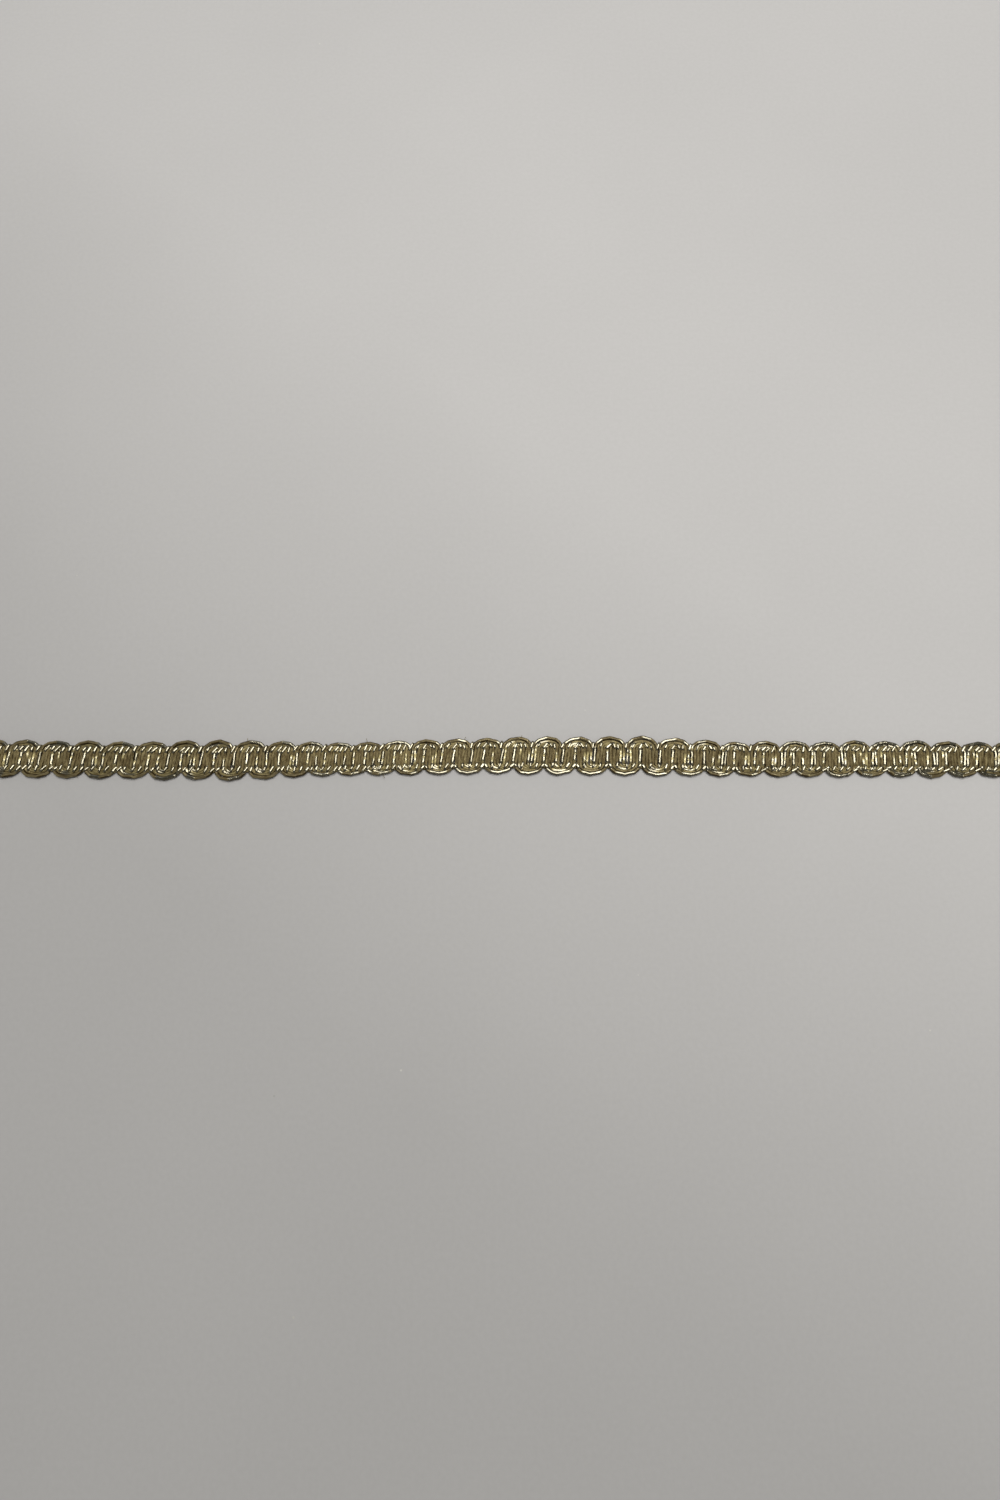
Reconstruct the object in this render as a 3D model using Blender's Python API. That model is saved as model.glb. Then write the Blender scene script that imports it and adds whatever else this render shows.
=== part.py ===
"""A cut length of scalloped metallic gimp braid, lying flat.

Metres, +Z up. The braid runs along X, its two scalloped edges face +Y and -Y, and its flat back is on Z = 0.
The origin is the middle of that back. A flat bundle of yarns runs to and fro between the edges: every turn at
an edge is one scallop, so the scallops of the two edges alternate, and a row of binding stitches along each
edge presses a furrow into the yarns.
"""

import math
import random

import bmesh
import bpy

MM = 0.001

# The cut length, in scallops of the +Y edge: the table below counts them from the first whole one
FIRST_SCALLOP = -1.25
LAST_SCALLOP = 32.25
PITCH = 7.69 * MM

# How the braid lies, one row for each stretch: the scallop's number, where its middle is along X and aside in Y,
# the width over the two edges' crests (all three in mm), and how far the yarns lean towards +X (degrees)
COLUMNS = ("scallop", "along", "aside", "width", "lean")
STRETCHES = (
    (-1.5, -129.9, 0.10, 9.45, 3.0),
    (0, -118.3, 0.05, 9.60, 4.5),
    (3, -94.6, -0.25, 9.55, 5.5),
    (6, -70.2, -0.40, 10.15, 6.0),
    (8, -54.1, -0.20, 9.65, 3.5),
    (10, -40.0, -0.10, 8.65, 5.0),
    (13, -18.2, 0.45, 8.95, 5.0),
    (16, 4.2, 0.80, 9.35, 9.0),
    (18, 19.4, 0.75, 9.90, 7.5),
    (20, 35.6, 0.65, 10.20, 4.0),
    (22, 51.4, 0.15, 9.10, 6.0),
    (24, 66.1, -0.10, 9.00, 6.0),
    (28, 96.2, -0.05, 9.35, 3.5),
    (32.5, 130.5, -0.25, 9.15, 8.5),
)

# Half widths of the braid's parts, measured from its middle line
MIDDLE_ROW = 1.00 * MM
FURROW = 1.95 * MM
VALLEY = 3.10 * MM
EDGE_CORD = 0.80 * MM

# How far along the braid the outermost yarn's arc reaches on each side of its crest
TURN_REACH = 3.72 * MM

# Where the shoulder's top is, as a share of the way from the furrow to the edge cord
SHOULDER_PLACE = 0.45

# Heights above the back
EDGE_SIDE = 0.35 * MM
EDGE_TOP = 0.85 * MM
SHOULDER = 1.02 * MM
FURROW_FLOOR = 0.92 * MM
BODY_LOW = 1.12 * MM
BODY_HIGH = 1.45 * MM

# The ribs across the middle: a smaller power makes them broader on top
RIB_POWER = 0.7

# No two scallops reach quite as far: each differs by up to this share, in an order fixed by the seed
UNEVEN = 0.035
SEED = 11

# Where a scallop's cross-sections stand, as shares of the pitch. The yarns cross at 0.25 and 0.75
SECTIONS = (0.0, 0.07, 0.16, 0.25, 0.34, 0.43, 0.5, 0.57, 0.66, 0.75, 0.84, 0.93)

# Edges that bend more than this are shaded sharp
SHARP_ANGLE = math.radians(40)

GOLD = (0.56, 0.47, 0.24, 1.0)


def lie(scallop, column):
    """The table's value at any point of the braid: a smooth curve through its rows."""
    values = [row[COLUMNS.index(column)] for row in STRETCHES]
    places = [row[0] for row in STRETCHES]
    last = len(places) - 1
    i = min(max(sum(p <= scallop for p in places) - 1, 0), last - 1)

    def slope(n):
        low, high = max(n - 1, 0), min(n + 1, last)
        return (values[high] - values[low]) / (places[high] - places[low])

    step = places[i + 1] - places[i]
    t = (scallop - places[i]) / step
    start = (2 * t**3 - 3 * t**2 + 1) * values[i]
    end = (3 * t**2 - 2 * t**3) * values[i + 1]
    bend = (t**3 - 2 * t**2 + t) * step * slope(i) + (t**3 - t**2) * step * slope(i + 1)
    return start + end + bend


def scallop_reaches():
    """How far each half-turn reaches, as a share of the usual: even numbers are the +Y edge's."""
    draw = random.Random(SEED)
    first = math.floor(2 * FIRST_SCALLOP) - 1
    last = math.ceil(2 * LAST_SCALLOP) + 1
    return {n: 1 + UNEVEN * draw.uniform(-1, 1) for n in range(first, last + 1)}


def edge_reach(scallop, side, reaches):
    """Half width at this point of the braid: the nearest turn's arc, or the valley between two turns."""
    shift = 0.0 if side > 0 else 0.5
    nearest = round(scallop - shift) + shift
    away = abs(scallop - nearest) * PITCH
    crest = lie(scallop, "width") * MM / 2 * reaches[round(2 * nearest)]
    inside = max(0.0, 1 - (away / TURN_REACH) ** 2)
    return max(VALLEY, FURROW + (crest - FURROW) * math.sqrt(inside))


def half_profile(scallop, side, reaches):
    """(distance from the middle line, height) from the back's edge up to the middle, on one side."""
    reach = edge_reach(scallop, side, reaches)
    rib = abs(math.sin(2 * math.pi * scallop)) ** RIB_POWER
    body = BODY_LOW + (BODY_HIGH - BODY_LOW) * rib
    cord = reach - EDGE_CORD / 2
    return [
        (reach, 0.0),
        (reach, EDGE_SIDE),
        (cord, EDGE_TOP),
        (FURROW + SHOULDER_PLACE * (cord - FURROW), SHOULDER),
        (FURROW, FURROW_FLOOR),
        (MIDDLE_ROW, body),
    ]


def section(scallop, reaches):
    """The points of one closed cross-section, from the +Y foot over the top to the -Y foot."""
    upper = half_profile(scallop, 1, reaches)
    lower = [(-d, z) for d, z in half_profile(scallop, -1, reaches)]
    middle = (0.0, upper[-1][1])
    lean = math.tan(math.radians(lie(scallop, "lean")))
    along, aside = lie(scallop, "along") * MM, lie(scallop, "aside") * MM
    across = upper + [middle] + lower[::-1]
    return [(along + d * lean, aside + d, z) for d, z in across]


def stations():
    """Every scallop position that has a cross-section, with one at each cut end."""
    whole = range(math.floor(FIRST_SCALLOP), math.ceil(LAST_SCALLOP) + 1)
    every = [n + s for n in whole for s in SECTIONS]
    return [p for p in every if FIRST_SCALLOP <= p <= LAST_SCALLOP]


def braid_mesh():
    """The braid as one closed skin: cross-sections joined along X, with a flat face at each cut end."""
    reaches = scallop_reaches()
    rings = [section(p, reaches) for p in stations()]
    middle = []
    for axis in (0, 1):
        reached = [point[axis] for ring in rings for point in ring]
        middle.append((min(reached) + max(reached)) / 2)

    shape = bmesh.new()
    made = []
    for ring in rings:
        made.append([shape.verts.new((x - middle[0], y - middle[1], z)) for x, y, z in ring])
    count = len(made[0])
    for ring, following in zip(made, made[1:]):
        for i in range(count):
            j = (i + 1) % count
            shape.faces.new((ring[i], ring[j], following[j], following[i]))
    shape.faces.new(made[0])
    shape.faces.new(made[-1])
    bmesh.ops.recalc_face_normals(shape, faces=shape.faces)

    mesh = bpy.data.meshes.new("braid")
    shape.to_mesh(mesh)
    shape.free()
    mesh.shade_smooth()
    mesh.set_sharp_from_angle(angle=SHARP_ANGLE)
    return mesh


def metallic_yarn():
    """Pale gold foil yarn."""
    material = bpy.data.materials.new("metallic_yarn")
    material.use_nodes = True
    shader = material.node_tree.nodes["Principled BSDF"]
    shader.inputs["Base Color"].default_value = GOLD
    shader.inputs["Metallic"].default_value = 0.9
    shader.inputs["Roughness"].default_value = 0.32
    return material


def build():
    """Clears the scene and makes the braid."""
    for old in list(bpy.data.objects):
        bpy.data.objects.remove(old)
    braid = bpy.data.objects.new("braid", braid_mesh())
    braid.data.materials.append(metallic_yarn())
    bpy.context.scene.collection.objects.link(braid)


build()
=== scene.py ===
import math
import random

import bmesh
import bpy
import numpy as np
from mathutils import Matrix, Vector


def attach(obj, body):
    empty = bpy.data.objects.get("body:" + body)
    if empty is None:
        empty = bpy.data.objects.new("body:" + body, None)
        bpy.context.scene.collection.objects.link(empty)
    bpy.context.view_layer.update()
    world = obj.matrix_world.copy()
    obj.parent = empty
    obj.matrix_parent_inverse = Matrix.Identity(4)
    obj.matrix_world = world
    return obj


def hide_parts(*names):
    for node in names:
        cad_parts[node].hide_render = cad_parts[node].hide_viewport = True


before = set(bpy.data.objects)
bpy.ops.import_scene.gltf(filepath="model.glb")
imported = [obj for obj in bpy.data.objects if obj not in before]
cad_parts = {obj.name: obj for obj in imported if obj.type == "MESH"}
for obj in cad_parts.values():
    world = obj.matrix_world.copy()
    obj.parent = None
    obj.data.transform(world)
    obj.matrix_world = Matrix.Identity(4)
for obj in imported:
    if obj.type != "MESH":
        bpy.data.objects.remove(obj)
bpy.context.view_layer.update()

mm = 0.001
print("frame loaded")

# How the braid lies, one row for each stretch: the scallop's number, where its middle is along X and aside
# in Y, the width over the two edges' crests (all three in mm), and how far the yarns lean to +X (degrees)
lieColumns = ("scallop", "along", "aside", "width", "lean")
lieRows = (
    (-1.5, -129.9, 0.10, 9.45, 3.0),
    (0, -118.3, 0.05, 9.60, 4.5),
    (3, -94.6, -0.25, 9.55, 5.5),
    (6, -70.2, -0.40, 10.15, 6.0),
    (8, -54.1, -0.20, 9.65, 3.5),
    (10, -40.0, -0.10, 8.65, 5.0),
    (13, -18.2, 0.45, 8.95, 5.0),
    (16, 4.2, 0.80, 9.35, 9.0),
    (18, 19.4, 0.75, 9.90, 7.5),
    (20, 35.6, 0.65, 10.20, 4.0),
    (22, 51.4, 0.15, 9.10, 6.0),
    (24, 66.1, -0.10, 9.00, 6.0),
    (28, 96.2, -0.05, 9.35, 3.5),
    (32.5, 130.5, -0.25, 9.15, 8.5),
)

braid = dict(
    pitch=7.69,  # mm from one scallop to the next on the same edge
    firstScallop=-1.25,  # where the length is cut
    lastScallop=32.25,
    yarnCount=5,
    yarnGap=0.75,  # mm between neighbouring yarns where they cross the middle
    turnStart=2.00,  # mm from the middle line to where a turn begins
    edgeCord=0.80,  # mm, half of which the outermost yarn's middle lies inside its crest
    turnReach=3.72,  # mm from a crest to where its scallop ends, along the braid
    furrow=1.95,  # mm from the middle line to the binding's furrow
    valley=3.10,  # mm from the middle line to the dip between two scallops
    unevenShare=0.035,
    unevenSeed=11,
)


def lie(scallop, column):
    rows = np.array(lieRows, dtype=float)
    knots, values = rows[:, 0], rows[:, lieColumns.index(column)]
    slopes = np.gradient(values, knots)
    slopes[1:-1] = (values[2:] - values[:-2]) / (knots[2:] - knots[:-2])
    i = np.clip(np.searchsorted(knots, scallop, side="right") - 1, 0, len(knots) - 2)
    step = knots[i + 1] - knots[i]
    t = (scallop - knots[i]) / step
    ends = (2 * t**3 - 3 * t**2 + 1) * values[i] + (3 * t**2 - 2 * t**3) * values[i + 1]
    bends = (t**3 - 2 * t**2 + t) * slopes[i] + (t**3 - t**2) * slopes[i + 1]
    return ends + bends * step


def scallopReaches():  # no two scallops reach quite as far; even numbers are the +Y edge's
    draw = random.Random(braid["unevenSeed"])
    first = math.floor(2 * braid["firstScallop"]) - 1
    last = math.ceil(2 * braid["lastScallop"]) + 1
    return {n: 1 + braid["unevenShare"] * draw.uniform(-1, 1) for n in range(first, last + 1)}


reaches = scallopReaches()


def edgeReach(scallop, side):
    shift = 0.0 if side > 0 else 0.5
    nearest = round(scallop - shift) + shift
    away = abs(scallop - nearest) * braid["pitch"]
    crest = lie(nearest, "width") / 2 * reaches[round(2 * nearest)]
    inside = max(0.0, 1 - (away / braid["turnReach"]) ** 2)
    return max(braid["valley"], braid["furrow"] + (crest - braid["furrow"]) * math.sqrt(inside))


def outlineMiddle():  # the CAD's origin is the middle of its box, so the table's is brought there
    steps = np.arange(braid["firstScallop"], braid["lastScallop"] + 0.001, 0.05)
    points = []
    for scallop in steps:
        lean = math.tan(math.radians(lie(scallop, "lean")))
        for side in (1, -1):
            across = side * edgeReach(scallop, side)
            points.append((lie(scallop, "along") + across * lean, lie(scallop, "aside") + across))
    low, high = np.min(points, axis=0), np.max(points, axis=0)
    return (low + high) / 2


tableMiddle = outlineMiddle()


def place(scallop, across):  # metres; across is in mm from the braid's middle line
    lean = np.tan(np.radians(lie(scallop, "lean")))
    x = lie(scallop, "along") + across * lean - tableMiddle[0]
    y = lie(scallop, "aside") + across - tableMiddle[1]
    return x * mm, y * mm


print("braid laid out, table middle", [round(float(v), 3) for v in tableMiddle])


# Geometry node helpers

def newTree(name, settings):
    tree = bpy.data.node_groups.new(name, "GeometryNodeTree")
    tree.interface.new_socket(name="Geometry", in_out="INPUT", socket_type="NodeSocketGeometry")
    tree.interface.new_socket(name="Geometry", in_out="OUTPUT", socket_type="NodeSocketGeometry")
    for label, kind in settings:
        tree.interface.new_socket(name=label, in_out="INPUT", socket_type="NodeSocket" + kind)
    return tree, tree.nodes.new("NodeGroupInput"), tree.nodes.new("NodeGroupOutput")


def addNode(tree, kind, inputs=(), **settings):
    node = tree.nodes.new(kind)
    for name, value in settings.items():
        setattr(node, name, value)
    for key, value in dict(inputs).items():
        if isinstance(value, bpy.types.NodeSocket):
            tree.links.new(value, node.inputs[key])
        else:
            node.inputs[key].default_value = value
    return node


def calculate(tree, operation, *values):
    return addNode(tree, "ShaderNodeMath", enumerate(values), operation=operation).outputs[0]


def calculateVector(tree, operation, **values):
    node = addNode(tree, "ShaderNodeVectorMath", operation=operation)
    sockets = {"a": 0, "b": 1, "scale": 3}
    for key, value in values.items():
        if isinstance(value, bpy.types.NodeSocket):
            tree.links.new(value, node.inputs[sockets[key]])
        else:
            node.inputs[sockets[key]].default_value = value
    return node.outputs["Value" if operation in ("LENGTH", "DOT_PRODUCT") else "Vector"]


def readNumber(tree, name):
    node = addNode(tree, "GeometryNodeInputNamedAttribute", data_type="FLOAT")
    node.inputs["Name"].default_value = name
    return node.outputs["Attribute"]


def applyTree(piece, tree, values):
    bpy.context.scene.collection.objects.link(piece)
    modifier = piece.modifiers.new(tree.name, "NODES")
    modifier.node_group = tree
    for item in tree.interface.items_tree:
        if item.item_type == "SOCKET" and item.in_out == "INPUT" and item.name in values:
            modifier[item.identifier] = values[item.name]
    bpy.context.view_layer.update()
    swept = piece.evaluated_get(bpy.context.evaluated_depsgraph_get())
    made = bpy.data.meshes.new_from_object(swept)
    piece.modifiers.remove(modifier)
    guide = piece.data
    piece.data = made
    bpy.data.meshes.remove(guide)
    faceOutward(made)
    made.name = piece.name
    triangles = sum(len(face.vertices) - 2 for face in made.polygons)
    print(piece.name, triangles, "triangles")
    return piece


def faceOutward(mesh):
    shape = bmesh.new()
    shape.from_mesh(mesh)
    if shape.calc_volume(signed=True) < 0:
        bmesh.ops.reverse_faces(shape, faces=shape.faces)
    shape.to_mesh(mesh)
    shape.free()


# Materials

def newMaterial(name, metallic, **sockets):
    material = bpy.data.materials.new(name)
    material.use_nodes = True
    shader = material.node_tree.nodes["Principled BSDF"]
    shader.inputs["Metallic"].default_value = metallic
    for key, value in sockets.items():
        shader.inputs[key].default_value = value
    return material, material.node_tree, shader


def mixColours(tree, factor, first, second, blend="MIX"):
    node = addNode(tree, "ShaderNodeMix", data_type="RGBA", blend_type=blend)
    for key, value in ((0, factor), (6, first), (7, second)):
        if isinstance(value, bpy.types.NodeSocket):
            tree.links.new(value, node.inputs[key])
        else:
            node.inputs[key].default_value = value
    return node.outputs[2]


def mapNumber(tree, value, low, high, start=0.0, end=1.0):
    inputs = {"Value": value, "From Min": start, "From Max": end, "To Min": low, "To Max": high}
    return addNode(tree, "ShaderNodeMapRange", inputs).outputs["Result"]


def readAttribute(tree, name, output="Fac"):
    return addNode(tree, "ShaderNodeAttribute", attribute_name=name).outputs[output]


def addNoise(tree, where, scale, detail):
    inputs = {"Vector": where, "Scale": scale, "Detail": detail}
    return addNode(tree, "ShaderNodeTexNoise", inputs).outputs["Fac"]


foil = dict(
    gold=(0.58, 0.52, 0.275, 1),
    # painted highlight: the paler gold given to the glossy stretches that catch the light
    paintedHighlightGold=(0.36, 0.342, 0.28, 1),
    brown=(0.126, 0.088, 0.038, 1),  # where the foil is worn and the yarn's core shows, and painted shade where no light is caught
    lightBrown=(0.34, 0.283, 0.155, 1),
    wornAndShadedMetal=0.12,
    specular=0.15,
    fleckShare=0.35,  # how much of the brown look, worn and painted shade, is gone in the flecks of foil that are left
    fleckRange=(0.54, 0.66),  # of the specks' noise, from no fleck to a whole one
    specks=5200.0,  # per metre
    paintedSideShade=(0.22, 0.165, 0.070, 1),  # painted shade on a yarn's sides and underside, as a share of its top
    patchShade=0.65,  # how dark the darkest patches are
    patches=0.8,  # how fine the patches are
    filaments=2.4,  # how fine the lines along a yarn are
    glossRoughness=0.18,
    dullRoughness=0.55,
    wraps=2600.0,  # turns of foil per metre of yarn
    wrapDepth=0.000009,
    lineDepth=0.00003,
)


def foilMaterial():
    material, tree, shader = newMaterial("foilYarn", 1.0)
    shader.inputs["Specular IOR Level"].default_value = foil["specular"]
    grain = readAttribute(tree, "grain", "Vector")
    wrap = readAttribute(tree, "wrap")
    tone = readAttribute(tree, "tone")
    gloss = readAttribute(tree, "gloss")
    where = addNode(tree, "ShaderNodeTexCoord").outputs["Object"]
    lines = addNoise(tree, grain, foil["filaments"], 3.0)
    patches = addNoise(tree, grain, foil["patches"], 2.0)
    specks = addNoise(tree, where, foil["specks"], 1.0)

    # the foil's gold, paler as a painted highlight where a stretch catches the light, the worn yarn's brown
    # that is also painted shade where it doesn't, then darker patches, and painted shade on the sides
    flecks = mapNumber(tree, specks, 0.0, foil["fleckShare"], *foil["fleckRange"])
    tone = calculate(tree, "MULTIPLY", tone, calculate(tree, "SUBTRACT", 1.0, flecks))
    # painted highlight: the glossier a stretch, the more of the paler gold it gets, and the stretches that
    # catch the light are the glossiest
    paintedHighlightTint = mapNumber(tree, gloss, 0.0, 1.0, 0.3, 0.9)
    bright = mixColours(tree, paintedHighlightTint, foil["gold"], foil["paintedHighlightGold"])
    lineTone = mapNumber(tree, lines, 0.0, 1.0, 0.42, 0.66)
    wornAndShaded = mixColours(tree, lineTone, foil["brown"], foil["lightBrown"])
    base = mixColours(tree, tone, bright, wornAndShaded)
    darker = mapNumber(tree, patches, foil["patchShade"], 1.0, 0.35, 0.6)
    base = mixColours(tree, 1.0, base, darker, blend="MULTIPLY")
    # painted shade: the colour is made darker towards each yarn's sides and underside, by how far its
    # surface turns from upright
    top = addNode(tree, "ShaderNodeSeparateXYZ", {0: grain}).outputs[1]
    topness = mapNumber(tree, top, 0.0, 1.0, 0.25, 0.95)
    sides = mixColours(tree, topness, foil["paintedSideShade"], (1, 1, 1, 1))
    base = mixColours(tree, 1.0, base, sides, blend="MULTIPLY")
    tree.links.new(base, shader.inputs["Base Color"])
    tree.links.new(mapNumber(tree, tone, 1.0, foil["wornAndShadedMetal"]), shader.inputs["Metallic"])

    dull = mapNumber(tree, gloss, foil["dullRoughness"], foil["glossRoughness"])
    rough = calculate(tree, "ADD", dull, mapNumber(tree, lines, -0.05, 0.08, 0.3, 0.7))
    tree.links.new(rough, shader.inputs["Roughness"])

    # the turns of foil stand up a little, and so do the filaments
    wound = calculate(tree, "SINE", calculate(tree, "MULTIPLY", wrap, math.tau))
    wrapBump = addNode(tree, "ShaderNodeBump", {
        "Height": wound,
        "Strength": 0.5,
        "Distance": foil["wrapDepth"],
    })
    unevenness = calculate(tree, "ADD", lines, calculate(tree, "MULTIPLY", specks, 1.3))
    lineBump = addNode(tree, "ShaderNodeBump", {
        "Height": unevenness,
        "Strength": mapNumber(tree, gloss, 0.9, 0.25),
        "Distance": foil["lineDepth"],
        "Normal": wrapBump.outputs["Normal"],
    })
    tree.links.new(lineBump.outputs["Normal"], shader.inputs["Normal"])
    return material


foilYarn = foilMaterial()
print("materials made")


# The camera and the lamps come first, because the yarns' flat tops are turned by them

view = dict(
    width=250.0,  # mm seen across the picture
    lookAt=(0.35, 2.37),  # mm, the picture's middle in the braid's own table
    tilt=12.0,  # degrees that the camera leans towards -Y
    lens=18.0,
    sensor=36.0,
    frameShape=1.5,  # height by width
)

keyLamp = dict(
    direction=(0.12, 0.26, 0.95),
    distance=0.78,  # m
    size=0.56,  # m
    power=4.4,
    colour=(1.0, 0.96, 0.84),
)

softLamp = dict(
    direction=(-0.25, 0.72, 0.65),
    distance=1.2,
    size=0.9,
    power=0.5,
    colour=(0.97, 0.98, 1.0),
)


def cameraPlace():
    away = view["width"] * view["frameShape"] * view["lens"] / view["sensor"] * mm
    lean = math.radians(view["tilt"])
    x = (view["lookAt"][0] - tableMiddle[0]) * mm
    y = (view["lookAt"][1] - tableMiddle[1]) * mm
    return Vector((x, y - away * math.sin(lean), away * math.cos(lean)))


def glintDirection(scallop):  # upright of a surface that throws the key light at the camera
    spot = Vector((*place(scallop, 0.0), 0.0))
    lampPlace = Vector(keyLamp["direction"]).normalized() * keyLamp["distance"]
    return ((lampPlace - spot).normalized() + (cameraPlace() - spot).normalized()).normalized()


# The yarns' paths

path = dict(
    turnStart=(2.30, 2.15, 2.05, 2.00, 1.95),  # mm from the middle line, a turn's outermost yarn first
    rise=(1.0, 0.68, 0.48, 0.31, 0.12),  # how far each yarn's turn reaches, as a share of the outermost's
    turnWidth=(0.88, 0.72, 0.68, 0.62, 0.50),  # mm
    turnHeight=(0.80, 0.60, 0.56, 0.54, 0.50),
    turnLift=(0.18, -0.10, -0.04, 0.02, 0.0),  # mm that a turn's crest is above the yarn's usual height
    # tone and gloss of each yarn's turn where it doesn't catch the light, brown as painted shade
    turnTone=(0.0, 0.84, 0.76, 0.80, 0.95),
    turnGloss=(1.0, 0.35, 0.25, 0.2, 0.1),
    # how likely each yarn's turn is to catch the light, at the -X end, in the middle and at the +X end
    litTurns=((0, 0, 0), (0.60, 0.20, 0.45), (0.35, 0.15, 0.35), (0.35, 0.45, 0.60), (0.30, 0.60, 0.70)),
    litLengths=(60, 110),  # degrees of its bend that such a turn is lit over
    runOn=0.7,  # how often a pass that catches the light still does where its yarn begins to turn
    runOnLengths=(50, 90),
    roll=20,  # degrees either way that a yarn that doesn't catch the light is turned
    kink=0.05,  # mm either way that a turn is uneven
    kinkAngles=(0, 24, 52, 92, 132, 157, 180),  # where the outermost yarn is kinked
    awayRoll=(24, 34),  # degrees that its unlit runs are turned from the light
    darkTone=0.86,  # painted shade: tone of the outermost yarn's straight runs that don't catch the light
    # how high the yarns' centres are above the table, by the distance from the middle line (both mm)
    heightKnots=((0.0, 0.76), (1.50, 0.76), (2.05, 0.66), (2.60, 0.68), (3.00, 0.58), (3.35, 0.48)),
    soften=0.26,  # mm over which a kink is rounded
    seed=5,
)

# Which passes over the middle catch the light: the yarn, the edge whose turn it leaves (1 for +Y), how
# likely it is at the -X end, in the middle and at the +X end, and from where to where it does (mm from the
# middle line, towards the edge that it leaves)
brightPasses = (
    (4, -1, 1.0, 1.0, 1.0, 1.6, -1.7),
    (0, -1, 1.0, 1.0, 0.65, 1.9, -2.2),
    (1, -1, 0.0, 0.2, 1.1, 1.9, -2.0),
    (1, 1, 0.3, 0.49, 0.49, 0.9, -1.9),
    (2, 1, 0.9, 0.3, 0.55, 0.4, -2.2),
    (0, 1, 0.2, 0.2, 0.7, 0.8, -1.6),
    (3, 1, 0.25, 0.1, 0.2, 1.9, 0.4),
    (3, -1, 0.2, 0.1, 0.3, 1.9, 0.2),
)

# How likely each straight run of a turn's outermost yarn is to catch the light, a row for each run from the
# turn's -X foot to its +X foot: at the -X end, in the middle and at the +X end
upperRuns = (
    (0.05, 0.00, 0.20),
    (0.05, 0.45, 0.75),
    (0.10, 0.30, 0.80),
    (0.20, 0.70, 0.60),
    (0.95, 0.45, 0.20),
    (0.20, 0.05, 0.00),
)
lowerRuns = (
    (0.00, 0.05, 0.20),
    (0.10, 0.30, 0.85),
    (0.30, 0.75, 0.50),
    (0.30, 0.75, 0.30),
    (0.10, 0.10, 0.15),
    (0.00, 0.05, 0.00),
)


# Where a pass over the middle has its keys (mm from the middle line), and how it looks
crossing = dict(
    spots=(1.95, 1.50, 1.0, 0.5, 0.0, -0.5, -1.0, -1.50, -1.95),
    width=0.86,  # mm, where it doesn't catch the light
    height=0.60,
    corner=0.62,
    litTaller=0.10,
    litHigher=0.12,
    edgeNarrower=0.10,  # mm that the bundle's last yarn narrows where it catches the light
    oftenNarrower=0.14,
    seldomNarrower=0.24,
    edgeRounder=0.14,  # how much rounder the last yarn is there, and then the others, by their scallop
    rounderFrom=(16, 24),
    rounderValues=(0.34, 0.08),
)


def restHeight(away):
    knots, heights = zip(*path["heightKnots"])
    return float(np.interp(away, knots, heights))


def alongBraid(scallop, values):  # from the values at the -X end, in the middle and at the +X end
    return float(np.interp(scallop, (2, 16, 30), values))


def passLight(yarn, side, scallop):
    for row in brightPasses:
        if row[:2] == (yarn, side):
            return alongBraid(scallop, row[2:5]), row[5], row[6]
    return 0.0, 0.0, 0.0


def passShine(turn, yarn):  # of the pass from this turn over the middle to the next
    draw = random.Random(path["seed"] + 89 * turn + yarn + 5000)
    likely = passLight(yarn, 1 if turn % 2 == 0 else -1, turn / 2)[0]
    return draw.uniform(0.85, 1.0) if draw.random() < likely else 0.0


# A key is one point of a yarn: along, across and height (mm), then width and height of the yarn (mm), how
# rounded its corners are, how far its flat top turns to where it catches the light, how far it is turned
# besides (degrees), the groove in its top, tone and gloss. Low tone and high gloss, which also pales the
# gold, are painted highlight where a stretch catches the light; high tone, brown, is painted shade where it
# doesn't
keyColumns = (
    "along",
    "across",
    "height",
    "yarnWidth",
    "yarnHeight",
    "corner",
    "facing",
    "roll",
    "groove",
    "tone",
    "gloss",
)


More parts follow.
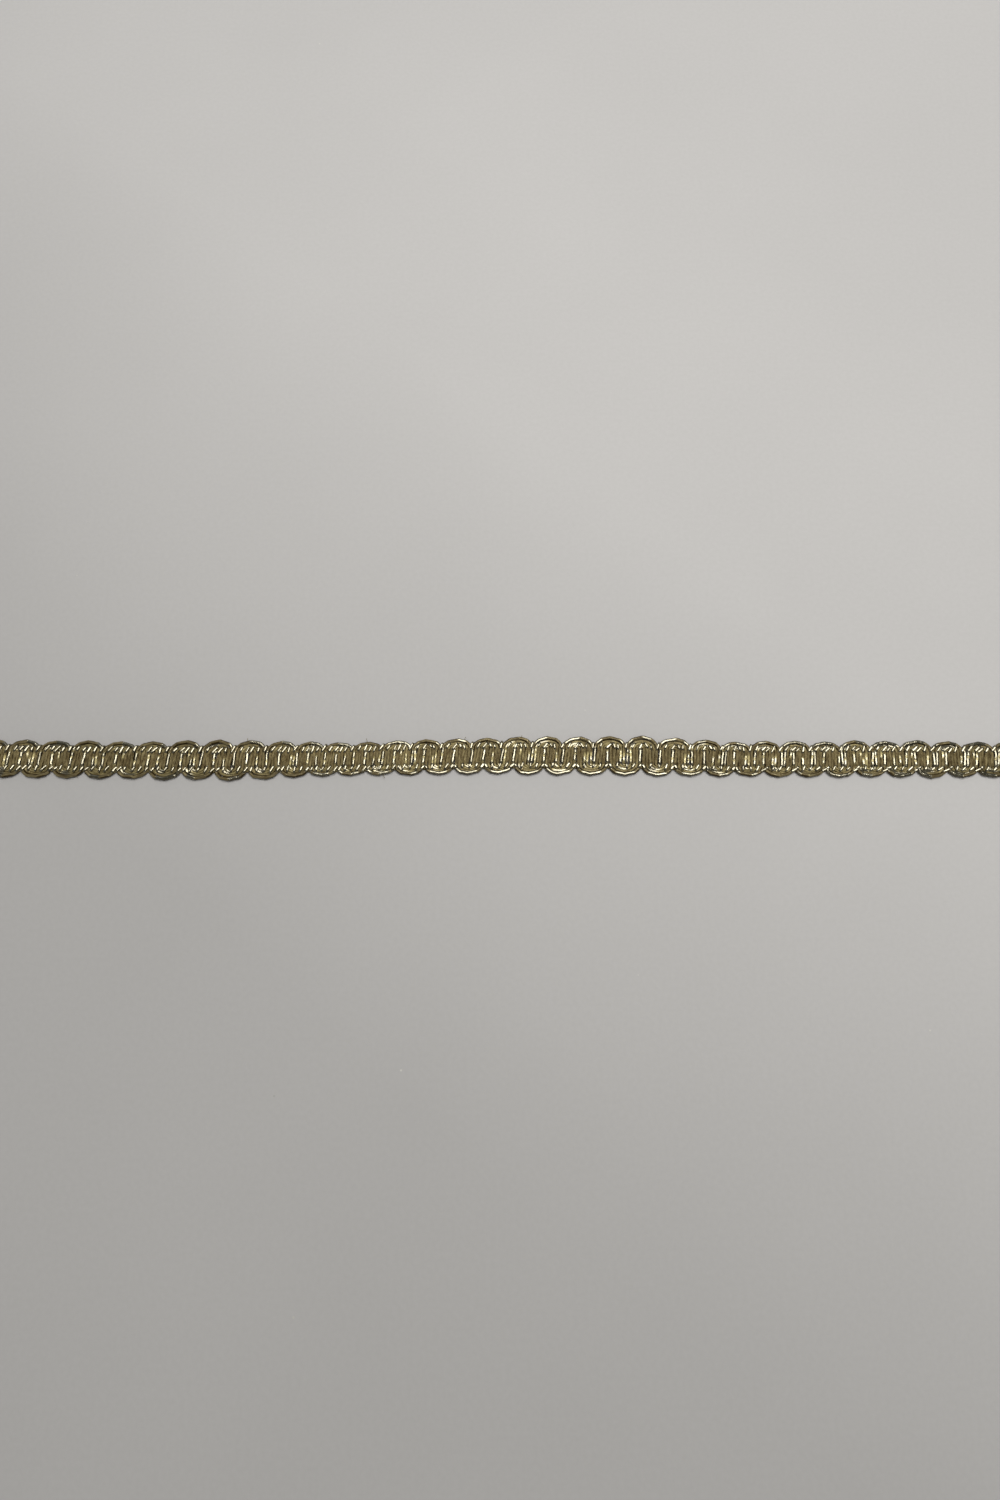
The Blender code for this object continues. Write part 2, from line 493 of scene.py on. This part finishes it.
def turnKeys(turn, yarn):
    draw = random.Random(path["seed"] + 97 * turn + yarn)
    side = 1 if turn % 2 == 0 else -1
    last = braid["yarnCount"] - 1
    rank = yarn if side > 0 else last - yarn
    offset = (last / 2 - yarn) * braid["yarnGap"]
    radius = braid["pitch"] / 4 + side * offset
    start = path["turnStart"][rank]
    crest = lie(turn / 2, "width") / 2 * reaches[turn] - braid["edgeCord"] / 2
    rise = braid["turnStart"] + (crest - braid["turnStart"]) * path["rise"][rank] - start
    middle = turn / 2 * braid["pitch"]

    def key(angle, facing, roll, tone, gloss):
        share = math.sin(math.radians(angle))
        away = start + rise * share
        kink = path["kink"] * share
        return (
            middle - radius * math.cos(math.radians(angle)) + draw.uniform(-kink, kink),
            side * away + draw.uniform(-kink, kink),
            restHeight(away) + path["turnLift"][rank] * share + draw.uniform(-kink, kink),
            path["turnWidth"][rank],
            path["turnHeight"][rank],
            0.82 if rank == 0 else 0.62,
            facing,
            roll,
            0.0 if rank == 0 else 0.5,
            tone,
            gloss,
        )

    if rank > 0:  # inner yarns bend evenly, and some catch the light over a part of their bend
        chance = alongBraid(turn / 2, path["litTurns"][rank])
        begin = draw.uniform(0, 70) if draw.random() < chance else 200
        end = begin + draw.uniform(*path["litLengths"])
        if passShine(turn - 1, yarn) > 0 and draw.random() < path["runOn"]:
            begin = 0
            end = draw.uniform(*path["runOnLengths"])
        keys = []
        for angle in range(0, 181, 20):
            roll = draw.uniform(-path["roll"], path["roll"])
            tone = path["turnTone"][rank] * draw.uniform(0.75, 1.2)
            gloss = path["turnGloss"][rank] * draw.uniform(0.3, 1.7)
            # painted highlight: where the turn catches the light it gets gold tone and high gloss; painted
            # shade: elsewhere its brown tone
            if begin <= angle <= end:
                keys.append(key(angle, 1.0, roll * 0.4, 0.1, 0.9))
            else:
                keys.append(key(angle, 0.0, roll, tone, gloss))
        return keys
    # the outermost is kinked into straight runs, each turned its own way
    bend = draw.uniform(-8, 8)
    angles = list(path["kinkAngles"])
    angles[2] += bend
    angles[3] += draw.uniform(-10, 10)
    angles[4] += bend
    keys = []
    for low, high, chances in zip(angles, angles[1:], upperRuns if side > 0 else lowerRuns):
        lit = draw.random() < alongBraid(turn / 2, chances)
        away = draw.choice((-1, 1)) * draw.uniform(*path["awayRoll"])
        for angle in (low + 2, high - 2):
            # painted highlight: a run that catches the light gets gold tone and full gloss; painted shade:
            # one that doesn't gets the dark brown tone
            if lit:
                keys.append(key(angle, 1.0, draw.uniform(-7, 7), 0.0, 1.0))
            else:
                keys.append(key(angle, 0.0, away, path["darkTone"], 0.7))
    return keys


def crossingKeys(turn, yarn):  # from this turn over the middle to the next
    draw = random.Random(path["seed"] + 89 * turn + yarn + 9000)
    side = 1 if turn % 2 == 0 else -1
    last = braid["yarnCount"] - 1
    offset = (last / 2 - yarn) * braid["yarnGap"]
    radius = braid["pitch"] / 4 + side * offset
    along = turn / 2 * braid["pitch"] + radius
    likely, highest, lowest = passLight(yarn, side, turn / 2)
    brightest = passShine(turn, yarn)
    highest += draw.uniform(-0.3, 0.2)
    lowest += draw.uniform(-0.2, 0.3)
    wander = draw.uniform(-0.08, 0.08)
    broken = draw.choice((0.5, 0.0, -0.5, 9.0, 9.0))  # where its light is broken: at 9 it isn't
    if yarn == last:
        narrower = crossing["edgeNarrower"]
        rounder = crossing["edgeRounder"]
    else:
        narrower = crossing["oftenNarrower"] if likely > 0.6 else crossing["seldomNarrower"]
        rounder = float(np.interp(turn / 2, crossing["rounderFrom"], crossing["rounderValues"]))
    keys = []
    for away in crossing["spots"]:
        inside = 1.0 if abs(away) < 1.8 else 0.4
        gloss = 0.0
        if lowest <= side * away <= highest:
            weak = away == broken or likely < 0.5 and draw.random() < 0.4
            gloss = brightest * (0.35 if weak else 1.0)
        lit = gloss > 0.3
        lift = (0.02 + crossing["litHigher"] * gloss) * inside
        keys.append((
            along + wander * away + draw.uniform(-0.05, 0.05),
            side * away,
            restHeight(abs(away)) + lift + draw.uniform(-0.03, 0.03),
            crossing["width"] - narrower * gloss,
            crossing["height"] + crossing["litTaller"] * gloss,
            crossing["corner"] + rounder * gloss,
            1.0 if lit else 0.0,
            draw.uniform(-8, 8) if lit else draw.uniform(-path["roll"], path["roll"]),
            0.8 * (1 - gloss) if likely > 0.5 else 0.7,
            # painted shade and highlight: brown tone where the pass doesn't catch the light, gold and
            # glossy where it does
            1 - min(1.0, 1.4 * gloss),
            gloss,
        ))
    return keys


def smoothed(values, size):
    kernel = np.hanning(size + 2)[1:-1]
    return np.convolve(np.pad(values, size // 2, mode="edge"), kernel / kernel.sum(), mode="valid")


def glintTurns(scallop, tangents):  # how far a flat top has to turn about its yarn to catch the light
    samples = np.linspace(scallop.min(), scallop.max(), 40)
    uprights = np.array([glintDirection(spot) for spot in samples])
    uprightX = np.interp(scallop, samples, uprights[:, 0])
    uprightY = np.interp(scallop, samples, uprights[:, 1])
    return -np.arcsin(np.clip(uprightX * tangents[:, 1] - uprightY * tangents[:, 0], -1, 1))


def threadPoints(keys, step, soften):  # evenly spaced along rounded keys, moved to where the braid lies
    fine = 0.04
    past = 0.02  # scallops kept past each cut
    keys = np.array(keys)
    lengths = np.linalg.norm(np.diff(keys[:, :3], axis=0), axis=1)
    run = np.concatenate([[0], np.cumsum(lengths)])
    spots = np.arange(0, run[-1], fine)
    dense = [smoothed(np.interp(spots, run, column), int(soften / fine) | 1) for column in keys.T]
    every = round(step / fine)
    chosen = dict(zip(keyColumns, [column[::every] for column in dense]))
    scallop = chosen.pop("along") / braid["pitch"]
    inside = (scallop >= braid["firstScallop"] - past) & (scallop <= braid["lastScallop"] + past)
    x, y = place(scallop, chosen.pop("across"))
    points = np.column_stack([x, y, chosen.pop("height") * mm])
    tangents = np.gradient(points, axis=0)
    tangents /= np.linalg.norm(tangents, axis=1)[:, None]
    facing = chosen.pop("facing") * glintTurns(scallop, tangents)
    chosen["yarnWidth"] = chosen["yarnWidth"] * mm
    chosen["yarnHeight"] = chosen["yarnHeight"] * mm
    chosen["roll"] = np.radians(chosen["roll"]) + facing
    chosen["run"] = spots[::every] * mm
    return points, inside, chosen


def yarnKeys(yarn):
    first = math.floor(2 * braid["firstScallop"])
    last = math.ceil(2 * braid["lastScallop"])
    keys = []
    for turn in range(first, last + 1):
        keys += turnKeys(turn, yarn) + crossingKeys(turn, yarn)
    return keys


def pathMesh(name, threads):
    points = []
    edges = []
    numbers = {}
    for places, inside, columns in threads:
        kept = np.flatnonzero(inside)
        start = len(points)
        points += [tuple(places[i]) for i in kept]
        joined = [n for n in range(len(kept) - 1) if kept[n + 1] == kept[n] + 1]
        edges += [(start + n, start + n + 1) for n in joined]
        for key, values in columns.items():
            numbers.setdefault(key, []).extend(values[kept])
    mesh = bpy.data.meshes.new(name)
    mesh.from_pydata(points, edges, [])
    for key, values in numbers.items():
        attribute = mesh.attributes.new(key, "FLOAT", "POINT")
        attribute.data.foreach_set("value", np.array(values, dtype=np.float32))
    return bpy.data.objects.new(name, mesh)


def yarnTree():
    tree, group, out = newTree("yarnSweep", (
        ("Sides", "Int"),
        ("Lobes", "Float"),
        ("Lobe Depth", "Float"),
        ("Lobe Turns per Metre", "Float"),
        ("Wraps per Metre", "Float"),
        ("Material", "Material"),
    ))
    rail = addNode(tree, "GeometryNodeMeshToCurve", {"Mesh": group.outputs["Geometry"]})
    level = addNode(tree, "GeometryNodeSetCurveNormal", {"Curve": rail.outputs["Curve"]}, mode="Z_UP")
    levelCurve = {"Geometry": level.outputs["Curve"]}
    held = addNode(tree, "GeometryNodeCaptureAttribute", levelCurve, domain="POINT")
    held.capture_items.new("VECTOR", "railPlace")
    held.capture_items.new("VECTOR", "railTangent")
    tree.links.new(addNode(tree, "GeometryNodeInputPosition").outputs[0], held.inputs[1])
    tree.links.new(addNode(tree, "GeometryNodeInputTangent").outputs[0], held.inputs[2])

    ring = addNode(tree, "GeometryNodeCurvePrimitiveCircle", {
        "Resolution": group.outputs["Sides"],
        "Radius": mm,
    })
    ringCurve = {"Geometry": ring.outputs["Curve"]}
    turned = addNode(tree, "GeometryNodeCaptureAttribute", ringCurve, domain="POINT")
    turned.capture_items.new("FLOAT", "turned")
    tree.links.new(addNode(tree, "GeometryNodeSplineParameter").outputs["Factor"], turned.inputs[1])
    sweep = addNode(tree, "GeometryNodeCurveToMesh", {
        "Curve": held.outputs["Geometry"],
        "Profile Curve": turned.outputs["Geometry"],
        "Fill Caps": True,
    })

    # the cross-section: a rounded box, grooved on top and below, as wide and tall as its point says
    angle = calculate(tree, "MULTIPLY", turned.outputs["turned"], math.tau)
    corner = readNumber(tree, "corner")
    cosine = calculate(tree, "COSINE", angle)
    sine = calculate(tree, "SINE", angle)
    sideways = calculate(tree, "ABSOLUTE", cosine)
    boxed = calculate(tree, "POWER", sideways, corner)
    wide = calculate(tree, "MULTIPLY", calculate(tree, "SIGN", cosine), boxed)
    boxed = calculate(tree, "POWER", calculate(tree, "ABSOLUTE", sine), corner)
    tall = calculate(tree, "MULTIPLY", calculate(tree, "SIGN", sine), boxed)
    deepest = mapNumber(tree, sideways, 0.32, 0.0, 0.0, 0.5)
    dip = calculate(tree, "MULTIPLY", deepest, readNumber(tree, "groove"))
    tall = calculate(tree, "MULTIPLY", tall, calculate(tree, "SUBTRACT", 1.0, dip))

    run = readNumber(tree, "run")
    turns = calculate(tree, "MULTIPLY", run, group.outputs["Lobe Turns per Metre"])
    twist = calculate(tree, "MULTIPLY", turns, math.tau)
    around = calculate(tree, "ADD", calculate(tree, "MULTIPLY", angle, group.outputs["Lobes"]), twist)
    lobe = calculate(tree, "SINE", around)
    swell = calculate(tree, "MULTIPLY_ADD", lobe, group.outputs["Lobe Depth"], 1.0)
    half = calculate(tree, "MULTIPLY", swell, 0.5)
    wide = calculate(tree, "MULTIPLY", wide, half)
    wide = calculate(tree, "MULTIPLY", wide, readNumber(tree, "yarnWidth"))
    tall = calculate(tree, "MULTIPLY", tall, half)
    tall = calculate(tree, "MULTIPLY", tall, readNumber(tree, "yarnHeight"))

    # turned about the yarn, and set out from its path along the level side and the upright
    roll = readNumber(tree, "roll")
    rollCosine = calculate(tree, "COSINE", roll)
    rollSine = calculate(tree, "SINE", roll)
    wideOut = calculate(tree, "MULTIPLY", wide, rollCosine)
    tallOut = calculate(tree, "MULTIPLY", tall, rollSine)
    wideUp = calculate(tree, "MULTIPLY", wide, rollSine)
    tallUp = calculate(tree, "MULTIPLY", tall, rollCosine)
    tangent = held.outputs["railTangent"]
    across = calculateVector(tree, "CROSS_PRODUCT", a=tangent, b=(0, 0, 1))
    level = calculateVector(tree, "NORMALIZE", a=across)
    upright = calculateVector(tree, "CROSS_PRODUCT", a=level, b=tangent)
    outward = calculateVector(tree, "SCALE", a=level, scale=calculate(tree, "SUBTRACT", wideOut, tallOut))
    upward = calculateVector(tree, "SCALE", a=upright, scale=calculate(tree, "ADD", wideUp, tallUp))
    offset = calculateVector(tree, "ADD", a=outward, b=upward)
    moved = addNode(tree, "GeometryNodeSetPosition", {
        "Geometry": sweep.outputs["Mesh"],
        "Position": calculateVector(tree, "ADD", a=held.outputs["railPlace"], b=offset),
    })

    grain = addNode(tree, "ShaderNodeCombineXYZ", {
        0: cosine,
        1: sine,
        2: calculate(tree, "MULTIPLY", run, 250.0),
    }).outputs[0]
    stored = addNode(
        tree,
        "GeometryNodeStoreNamedAttribute",
        {"Geometry": moved.outputs["Geometry"], "Name": "grain", "Value": grain},
        data_type="FLOAT_VECTOR",
        domain="POINT",
    )
    slanted = calculate(tree, "MULTIPLY", cosine, 0.6)
    wound = calculate(tree, "MULTIPLY_ADD", run, group.outputs["Wraps per Metre"], slanted)
    stored = addNode(
        tree,
        "GeometryNodeStoreNamedAttribute",
        {"Geometry": stored.outputs["Geometry"], "Name": "wrap", "Value": wound},
        data_type="FLOAT",
        domain="POINT",
    )
    smooth = addNode(tree, "GeometryNodeSetShadeSmooth", {"Geometry": stored.outputs["Geometry"]})
    real = addNode(tree, "GeometryNodeRealizeInstances", {"Geometry": smooth.outputs["Geometry"]})
    finish = addNode(tree, "GeometryNodeSetMaterial", {
        "Geometry": real.outputs["Geometry"],
        "Material": group.outputs["Material"],
    })
    tree.links.new(finish.outputs["Geometry"], out.inputs["Geometry"])
    return tree


# A yarn's twist shows as lobes that turn along it; the steps are in mm and the turns per metre
edgeYarns = dict(sides=18, step=0.24, lobes=2.0, lobeDepth=0.025, lobeTurns=660.0)
middleYarns = dict(sides=16, step=0.32, lobes=3.0, lobeDepth=0.03, lobeTurns=150.0)
sweepTree = yarnTree()


strays = dict(
    count=6,
    width=0.11,  # mm
    longest=1.5,
    seed=8,
)


def strayFibres():  # ends of filament that stand off the edges
    draw = random.Random(strays["seed"])
    threads = []
    for _ in range(strays["count"]):
        scallop = draw.uniform(braid["firstScallop"] + 1, braid["lastScallop"] - 1)
        side = draw.choice((-1, 1))
        foot = place(scallop, side * (edgeReach(scallop, side) - 0.4))
        start = Vector((*foot, draw.uniform(0.5, 0.8) * mm))
        length = draw.uniform(0.7, strays["longest"]) * mm
        towards = Vector((draw.uniform(-0.7, 0.7), side, draw.uniform(0.0, 0.4))).normalized()
        bend = Vector((draw.uniform(-1, 1), draw.uniform(-0.3, 0.3), draw.uniform(-0.1, 0.3)))
        shares = np.linspace(0, 1, 8)
        points = np.array([start + towards * length * t + bend * length * 0.4 * t * t for t in shares])
        count = len(shares)
        columns = dict(
            yarnWidth=np.full(count, strays["width"] * mm),
            yarnHeight=np.full(count, strays["width"] * mm),
            corner=np.ones(count),
            roll=np.zeros(count),
            groove=np.zeros(count),
            tone=np.full(count, 0.6),
            gloss=np.full(count, 0.3),
            run=shares * length,
        )
        threads.append((points, np.ones(count, dtype=bool), columns))
    return threads


def sweepThreads(name, threads, look):
    return applyTree(pathMesh(name, threads), sweepTree, {
        "Sides": look["sides"],
        "Lobes": look["lobes"],
        "Lobe Depth": look["lobeDepth"],
        "Lobe Turns per Metre": look["lobeTurns"],
        "Wraps per Metre": foil["wraps"],
        "Material": foilYarn,
    })


def makeYarns(name, yarns, look):
    threads = [threadPoints(yarnKeys(yarn), look["step"], path["soften"]) for yarn in yarns]
    return sweepThreads(name, threads, look)


outerYarns = makeYarns("outer_yarns", (0, 4), edgeYarns)
innerYarns = makeYarns("inner_yarns", (1, 2, 3), middleYarns)
print("yarns swept")


# The binding: one thread along each edge, wound round the yarns. Its stitches show on the face as short
# slanting strokes, five to a scallop, and it goes back under the yarns from one to the next. They slant one
# way at the -X end, in the middle pairs of them lean together, and they lie flatter at the +X end

# One row for each stitch of a scallop: where it is along the braid (share of the pitch, from a +Y crest),
# its outer and inner end (mm from the middle line), how far its +Y end leans to +X (mm), its width (mm)
upperStitches = (
    (
        (-0.27, 3.15, 2.05, 0.26, 0.50),
        (-0.07, 3.15, 1.95, 0.34, 0.50),
        (0.08, 3.15, 1.75, 0.36, 0.52),
        (0.26, 3.05, 1.85, 0.16, 0.50),
        (0.47, 3.30, 1.95, 0.28, 0.54),
    ),
    (
        (-0.27, 3.10, 2.15, 0.20, 0.54),
        (-0.05, 3.05, 1.95, 0.38, 0.60),
        (0.13, 3.05, 2.20, -0.30, 0.56),
        (0.26, 2.85, 1.95, -0.12, 0.50),
        (0.49, 3.15, 1.95, 0.16, 0.60),
    ),
    (
        (-0.28, 3.15, 2.05, 0.40, 0.56),
        (-0.05, 3.10, 2.10, 0.52, 0.58),
        (0.07, 2.75, 1.85, 0.46, 0.52),
        (0.26, 3.10, 1.90, 0.26, 0.54),
        (0.50, 3.20, 2.00, 0.40, 0.58),
    ),
)
lowerStitches = (
    (
        (-0.03, 3.00, 1.95, 0.34, 0.52),
        (0.12, 2.85, 1.90, 0.28, 0.48),
        (0.30, 2.85, 1.80, 0.18, 0.48),
        (0.53, 2.90, 1.90, 0.18, 0.48),
        (0.75, 2.95, 1.80, 0.32, 0.50),
    ),
    (
        (-0.05, 2.95, 2.15, 0.36, 0.68),
        (0.06, 2.90, 2.20, -0.34, 0.60),
        (0.27, 2.85, 1.90, 0.06, 0.54),
        (0.54, 2.80, 2.05, 0.02, 0.48),
        (0.76, 2.95, 1.90, 0.24, 0.58),
    ),
    (
        (-0.04, 3.05, 2.50, 0.56, 0.56),
        (0.06, 2.55, 1.95, 0.50, 0.54),
        (0.28, 2.85, 1.85, 0.26, 0.50),
        (0.52, 2.85, 2.05, 0.34, 0.50),
        (0.76, 2.85, 2.00, 0.46, 0.56),
    ),
)

binding = dict(
    faceHeight=1.06,  # mm, the thread's centre over the yarns
    insideHeight=0.55,
    backHeight=0.24,
    backReach=2.4,  # mm from the middle line to where it runs along the back
    backSize=(0.40, 0.36),
    height=0.44,
    step=0.20,
    soften=0.16,
    changes=(12.5, 23.5),  # scallops from which the second and the third set of stitches hold
    seed=3,
    sides=10,
    lobes=2.0,
    lobeDepth=0.03,
    lobeTurns=520.0,
)

# The cord that lies along each edge inside the binding, under the turns
inlay = dict(
    reach=2.62,  # mm from the middle line
    width=1.05,
    height=0.74,
    centreHeight=0.40,
    step=0.40,
    wobble=0.04,
)


def stitchKeys(scallop, side, outer, inner, slant, width, draw):
    slant += draw.uniform(-0.14, 0.12)
    half = max((outer - inner) / 2 + draw.uniform(-0.08, 0.14), 0.06)
    centre = (outer + inner) / 2 + draw.uniform(-0.10, 0.10)
    width = width * draw.uniform(0.85, 1.15)
    along = scallop * braid["pitch"] + draw.uniform(-0.12, 0.12)
    glint = glintDirection(scallop)
    keys = []
    # from the inner end, over the face to the outer end, and back below
    for share, height, lit in (
        (-1.30, binding["insideHeight"], 0.0),
        (-1.18, binding["faceHeight"] - 0.06, 1.0),
        (-0.60, binding["faceHeight"], 1.0),
        (0.60, binding["faceHeight"], 1.0),
        (1.18, binding["faceHeight"] - 0.06, 1.0),
        (1.30, binding["insideHeight"], 0.0),
    ):
        shift = side * share * slant
        rise = side * share * half
        keys.append((
            along + shift,
            side * centre + rise,
            height - 0.8 * (glint.x * shift + glint.y * rise) / glint.z,
            width,
            binding["height"],
            0.56,
            lit,
            0.0,
            0.0,
            # painted highlight and shade: the stitch's lit face is gold and glossy, its ends among the
            # yarns brown
            0.6 * (1 - lit),
            lit,
        ))
    return keys


def bindingKeys(side, stitches):
    draw = random.Random(binding["seed"] + side)
    first = math.floor(braid["firstScallop"])
    last = math.ceil(braid["lastScallop"])
    rows = []
    for whole in range(first, last + 1):
        stretch = sum(whole >= change for change in binding["changes"])
        rows += [(whole + row[0], *row[1:]) for row in stitches[stretch]]
    keys = []
    for scallop, outer, inner, slant, width in rows:
        stitch = stitchKeys(scallop, side, outer, inner, slant, width, draw)
        if keys:
            halfway = (keys[-1][0] + stitch[0][0]) / 2
            back = (binding["backReach"] * side, binding["backHeight"], *binding["backSize"])
            keys.append((halfway, *back, 0.8, 0.0, 0.0, 0.0, 0.8, 0.1))
        keys += stitch
    return keys


def inlayKeys(side):
    draw = random.Random(binding["seed"] + side + 40)
    keys = []
    for spot in np.arange(braid["firstScallop"] - 0.2, braid["lastScallop"] + 0.2, 0.25):
        reach = side * inlay["reach"] + draw.uniform(-1, 1) * inlay["wobble"]
        along = float(spot) * braid["pitch"]
        size = (inlay["width"], inlay["height"])
        keys.append((along, reach, inlay["centreHeight"], *size, 0.8, 0.0, 0.0, 0.0, 0.6, 0.2))
    return keys


bindingThread = sweepThreads(
    "binding_thread",
    [
        threadPoints(bindingKeys(1, upperStitches), binding["step"], binding["soften"]),
        threadPoints(bindingKeys(-1, lowerStitches), binding["step"], binding["soften"]),
        threadPoints(inlayKeys(1), inlay["step"], path["soften"]),
        threadPoints(inlayKeys(-1), inlay["step"], path["soften"]),
        *strayFibres(),
    ],
    binding,
)
print("binding sewn")


# The table, the lights and the camera

board = dict(
    size=1.3,  # m
    colour=(0.603, 0.609, 0.670, 1),
    slope=(1.05, 1.30),  # the way it gets paler as painted light, and the longer this is, the sooner
    paintedLightGradient=0.12,  # painted paler or darker by this share, from 75 mm off
    mottle=0.025,  # how much paler or darker its cloudy patches are
    mottleScale=9.0,
    grain=0.015,  # and its grain
    grainScale=900.0,
    cells=90.0,  # per metre, of which one in ten has a pale speck and fewer a dark one
    speckSize=(0.010, 0.030),  # as shares of a cell, from its full middle to its rim
)


def boardMaterial():
    material, tree, shader = newMaterial("paleBoard", 0.0, Roughness=0.9)
    shader.inputs["Specular IOR Level"].default_value = 0.15
    where = addNode(tree, "ShaderNodeTexCoord").outputs["Object"]
    mottle = addNoise(tree, where, board["mottleScale"], 4.0)
    grain = addNoise(tree, where, board["grainScale"], 2.0)
    shade = calculate(
        tree,
        "MULTIPLY",
        mapNumber(tree, mottle, 1 - board["mottle"], 1 + board["mottle"], 0.3, 0.7),
        mapNumber(tree, grain, 1 - board["grain"], 1 + board["grain"], 0.3, 0.7),
    )
    # painted light: the board's colour is made paler towards +X and +Y and darker the other way, as if more
    # light fell there
    uphill = calculateVector(tree, "DOT_PRODUCT", a=where, b=(*board["slope"], 0))
    paintedLightGradient = mapNumber(tree, uphill, 1 - board["paintedLightGradient"], 1 + board["paintedLightGradient"], -0.125, 0.125)
    colour = mixColours(tree, 1.0, board["colour"], shade, blend="MULTIPLY")
    colour = mixColours(tree, 1.0, colour, paintedLightGradient, blend="MULTIPLY")

    cells = addNode(tree, "ShaderNodeTexVoronoi", {
        "Vector": where,
        "Scale": board["cells"],
        "Randomness": 1.0,
    })
    chances = addNode(tree, "ShaderNodeSeparateColor", {0: cells.outputs["Color"]}).outputs
    near = mapNumber(tree, cells.outputs["Distance"], 1.0, 0.0, *board["speckSize"])
    pale = calculate(tree, "MULTIPLY", near, calculate(tree, "GREATER_THAN", chances[0], 0.90))
    dark = calculate(tree, "MULTIPLY", near, calculate(tree, "GREATER_THAN", chances[1], 0.93))
    colour = mixColours(tree, calculate(tree, "MULTIPLY", pale, 0.5), colour, (0.9, 0.9, 0.9, 1))
    colour = mixColours(tree, calculate(tree, "MULTIPLY", dark, 0.25), colour, (0.2, 0.2, 0.2, 1))
    tree.links.new(colour, shader.inputs["Base Color"])
    return material


def makeFloor():
    half = board["size"] / 2
    corners = [(-half, -half, 0), (half, -half, 0), (half, half, 0), (-half, half, 0)]
    mesh = bpy.data.meshes.new("table_top")
    mesh.from_pydata(corners, [], [(0, 1, 2, 3)])
    mesh.materials.append(boardMaterial())
    floor = bpy.data.objects.new("table_top", mesh)
    bpy.context.scene.collection.objects.link(floor)
    return floor


def areaLight(name, lamp):
    light = bpy.data.lights.new(name, "AREA")
    light.shape = "DISK"
    light.size = lamp["size"]
    light.energy = lamp["power"]
    light.color = lamp["colour"]
    towards = Vector(lamp["direction"]).normalized()
    holder = bpy.data.objects.new(name, light)
    holder.location = towards * lamp["distance"]
    holder.rotation_euler = towards.to_track_quat("Z", "Y").to_euler()
    bpy.context.scene.collection.objects.link(holder)


# Sky colours by height, the horizon first: what lights the braid, and the wall that the camera sees
lightStops = (
    (0.0, (0.46, 0.44, 0.38, 1)),
    (0.30, (0.31, 0.30, 0.26, 1)),
    (0.52, (0.13, 0.13, 0.11, 1)),
    (0.75, (0.13, 0.13, 0.11, 1)),
    (0.93, (0.14, 0.135, 0.11, 1)),
    (0.975, (0.07, 0.055, 0.04, 1)),
    (1.0, (0.05, 0.04, 0.03, 1)),
)
wallStops = (
    (0.0, (0.38, 0.375, 0.36, 1)),
    (0.35, (0.45, 0.44, 0.42, 1)),
    (1.0, (0.50, 0.49, 0.47, 1)),
)


def colourRamp(tree, height, stops):
    ramp = addNode(tree, "ShaderNodeValToRGB", {"Fac": height})
    elements = ramp.color_ramp.elements
    for element, (spot, colour) in zip(elements, (stops[0], stops[-1])):
        element.position = spot
        element.color = colour
    for spot, colour in stops[1:-1]:
        elements.new(spot).color = colour
    return ramp.outputs["Color"]


def skyGradient():
    world = bpy.data.worlds.new("studio")
    world.use_nodes = True
    bpy.context.scene.world = world
    tree = world.node_tree
    direction = addNode(tree, "ShaderNodeTexCoord").outputs["Generated"]
    height = addNode(tree, "ShaderNodeSeparateXYZ", {0: direction}).outputs[2]
    seen = addNode(tree, "ShaderNodeLightPath").outputs["Is Camera Ray"]
    lighting = colourRamp(tree, height, lightStops)
    wall = colourRamp(tree, height, wallStops)
    colour = mixColours(tree, seen, lighting, wall)
    sky = tree.nodes["Background"]
    tree.links.new(colour, sky.inputs["Color"])
    sky.inputs["Strength"].default_value = 1.0


def makeCamera():
    eye = bpy.data.cameras.new("camera")
    eye.lens = view["lens"]
    eye.sensor_width = view["sensor"]
    eye.sensor_fit = "AUTO"
    camera = bpy.data.objects.new("camera", eye)
    camera.location = cameraPlace()
    camera.rotation_euler = (math.radians(view["tilt"]), 0, 0)
    bpy.context.scene.collection.objects.link(camera)
    bpy.context.scene.camera = camera


floor = makeFloor()
areaLight("keyLamp", keyLamp)
areaLight("softLamp", softLamp)
skyGradient()
makeCamera()
bpy.context.scene.view_settings.view_transform = "Standard"
print("stage and lights ready")

for piece in (outerYarns, innerYarns, bindingThread):
    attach(piece, "root")
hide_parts("braid")
